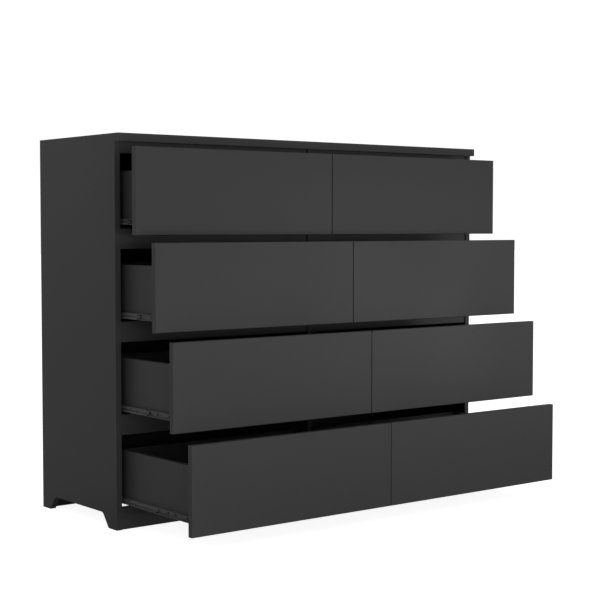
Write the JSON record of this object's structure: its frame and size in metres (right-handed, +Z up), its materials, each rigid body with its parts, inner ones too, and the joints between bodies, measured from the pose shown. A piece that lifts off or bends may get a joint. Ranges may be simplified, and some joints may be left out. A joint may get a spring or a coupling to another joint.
{
  "type": "dresser with drawers",
  "caption": "Free-standing double dresser: handle-less drawer fronts in two columns on full-extension ball-bearing slides, side panels cut out into feet.",
  "frame": {"origin": "bottom centre of the box around the dresser with its drawers pulled out as at rest", "axes": "+X to the right seen from the front, +Y from the drawer fronts to the back, +Z up; the cabinet is centred on X = 0"},
  "size_m": [1.2, 0.71, 0.967],
  "materials": {
    "carcass_laminate": "smooth satin anthracite laminate on particle board",
    "box_laminate": "matt anthracite laminate on thin particle board",
    "hardboard": "dark foil on hardboard",
    "slide_steel": "black electro-coated steel, satin",
    "fastener_zinc": "zinc-plated",
    "glide_plastic": "matt black moulded plastic"
  },
  "bodies": {
    "carcass": {"back_panels": "hardboard", "cabinet_slide_members": "slide_steel", "cam_locks": "fastener_zinc", "centre_divider": "carcass_laminate", "connecting_bolts": "fastener_zinc", "floor_glides": "glide_plastic", "front_rails_left": "carcass_laminate", "front_rails_right": "carcass_laminate", "left_side_panel": "carcass_laminate", "plinth_boards": "carcass_laminate", "right_side_panel": "carcass_laminate", "top_panel": "carcass_laminate"},
    "drawer_left_1": {"drawer_front_left_1": "carcass_laminate", "drawer_sides_left_1": "box_laminate", "drawer_back_left_1": "box_laminate", "drawer_bottom_left_1": "hardboard", "drawer_slide_members_left_1": "slide_steel"},
    "slide_left_1": {"middle_slide_members_left_1": "slide_steel"},
    "drawer_left_2": {"drawer_front_left_2": "carcass_laminate", "drawer_sides_left_2": "box_laminate", "drawer_back_left_2": "box_laminate", "drawer_bottom_left_2": "hardboard", "drawer_slide_members_left_2": "slide_steel"},
    "slide_left_2": {"middle_slide_members_left_2": "slide_steel"},
    "drawer_left_3": {"drawer_front_left_3": "carcass_laminate", "drawer_sides_left_3": "box_laminate", "drawer_back_left_3": "box_laminate", "drawer_bottom_left_3": "hardboard", "drawer_slide_members_left_3": "slide_steel"},
    "slide_left_3": {"middle_slide_members_left_3": "slide_steel"},
    "drawer_left_4": {"drawer_front_left_4": "carcass_laminate", "drawer_sides_left_4": "box_laminate", "drawer_back_left_4": "box_laminate", "drawer_bottom_left_4": "hardboard", "drawer_slide_members_left_4": "slide_steel"},
    "slide_left_4": {"middle_slide_members_left_4": "slide_steel"},
    "drawer_right_1": {"drawer_front_right_1": "carcass_laminate", "drawer_sides_right_1": "box_laminate", "drawer_back_right_1": "box_laminate", "drawer_bottom_right_1": "hardboard", "drawer_slide_members_right_1": "slide_steel"},
    "slide_right_1": {"middle_slide_members_right_1": "slide_steel"},
    "drawer_right_2": {"drawer_front_right_2": "carcass_laminate", "drawer_sides_right_2": "box_laminate", "drawer_back_right_2": "box_laminate", "drawer_bottom_right_2": "hardboard", "drawer_slide_members_right_2": "slide_steel"},
    "slide_right_2": {"middle_slide_members_right_2": "slide_steel"},
    "drawer_right_3": {"drawer_front_right_3": "carcass_laminate", "drawer_sides_right_3": "box_laminate", "drawer_back_right_3": "box_laminate", "drawer_bottom_right_3": "hardboard", "drawer_slide_members_right_3": "slide_steel"},
    "slide_right_3": {"middle_slide_members_right_3": "slide_steel"},
    "drawer_right_4": {"drawer_front_right_4": "carcass_laminate", "drawer_sides_right_4": "box_laminate", "drawer_back_right_4": "box_laminate", "drawer_bottom_right_4": "hardboard", "drawer_slide_members_right_4": "slide_steel"},
    "slide_right_4": {"middle_slide_members_right_4": "slide_steel"}
  },
  "joints": [
    {"name": "drawer_travel_left_1", "type": "slide", "parent": "carcass", "child": "drawer_left_1", "axis": [0, -1, 0], "range_m": [-0.078, 0.262]},
    {"name": "slide_travel_left_1", "type": "slide", "parent": "carcass", "child": "slide_left_1", "axis": [0, -1, 0], "range_m": [-0.039, 0.131]},
    {"name": "drawer_travel_left_2", "type": "slide", "parent": "carcass", "child": "drawer_left_2", "axis": [0, -1, 0], "range_m": [-0.164, 0.176]},
    {"name": "slide_travel_left_2", "type": "slide", "parent": "carcass", "child": "slide_left_2", "axis": [0, -1, 0], "range_m": [-0.082, 0.088]},
    {"name": "drawer_travel_left_3", "type": "slide", "parent": "carcass", "child": "drawer_left_3", "axis": [0, -1, 0], "range_m": [-0.238, 0.102]},
    {"name": "slide_travel_left_3", "type": "slide", "parent": "carcass", "child": "slide_left_3", "axis": [0, -1, 0], "range_m": [-0.119, 0.051]},
    {"name": "drawer_travel_left_4", "type": "slide", "parent": "carcass", "child": "drawer_left_4", "axis": [0, -1, 0], "range_m": [-0.313, 0.027]},
    {"name": "slide_travel_left_4", "type": "slide", "parent": "carcass", "child": "slide_left_4", "axis": [0, -1, 0], "range_m": [-0.1565, 0.0135]},
    {"name": "drawer_travel_right_1", "type": "slide", "parent": "carcass", "child": "drawer_right_1", "axis": [0, -1, 0], "range_m": [-0.078, 0.262]},
    {"name": "slide_travel_right_1", "type": "slide", "parent": "carcass", "child": "slide_right_1", "axis": [0, -1, 0], "range_m": [-0.039, 0.131]},
    {"name": "drawer_travel_right_2", "type": "slide", "parent": "carcass", "child": "drawer_right_2", "axis": [0, -1, 0], "range_m": [-0.164, 0.176]},
    {"name": "slide_travel_right_2", "type": "slide", "parent": "carcass", "child": "slide_right_2", "axis": [0, -1, 0], "range_m": [-0.082, 0.088]},
    {"name": "drawer_travel_right_3", "type": "slide", "parent": "carcass", "child": "drawer_right_3", "axis": [0, -1, 0], "range_m": [-0.238, 0.102]},
    {"name": "slide_travel_right_3", "type": "slide", "parent": "carcass", "child": "slide_right_3", "axis": [0, -1, 0], "range_m": [-0.119, 0.051]},
    {"name": "drawer_travel_right_4", "type": "slide", "parent": "carcass", "child": "drawer_right_4", "axis": [0, -1, 0], "range_m": [-0.313, 0.027]},
    {"name": "slide_travel_right_4", "type": "slide", "parent": "carcass", "child": "slide_right_4", "axis": [0, -1, 0], "range_m": [-0.1565, 0.0135]}
  ],
  "couplings": [
    {"joint": "slide_travel_left_1", "follows": "drawer_travel_left_1", "ratio": 0.5},
    {"joint": "slide_travel_left_2", "follows": "drawer_travel_left_2", "ratio": 0.5},
    {"joint": "slide_travel_left_3", "follows": "drawer_travel_left_3", "ratio": 0.5},
    {"joint": "slide_travel_left_4", "follows": "drawer_travel_left_4", "ratio": 0.5},
    {"joint": "slide_travel_right_1", "follows": "drawer_travel_right_1", "ratio": 0.5},
    {"joint": "slide_travel_right_2", "follows": "drawer_travel_right_2", "ratio": 0.5},
    {"joint": "slide_travel_right_3", "follows": "drawer_travel_right_3", "ratio": 0.5},
    {"joint": "slide_travel_right_4", "follows": "drawer_travel_right_4", "ratio": 0.5}
  ]
}
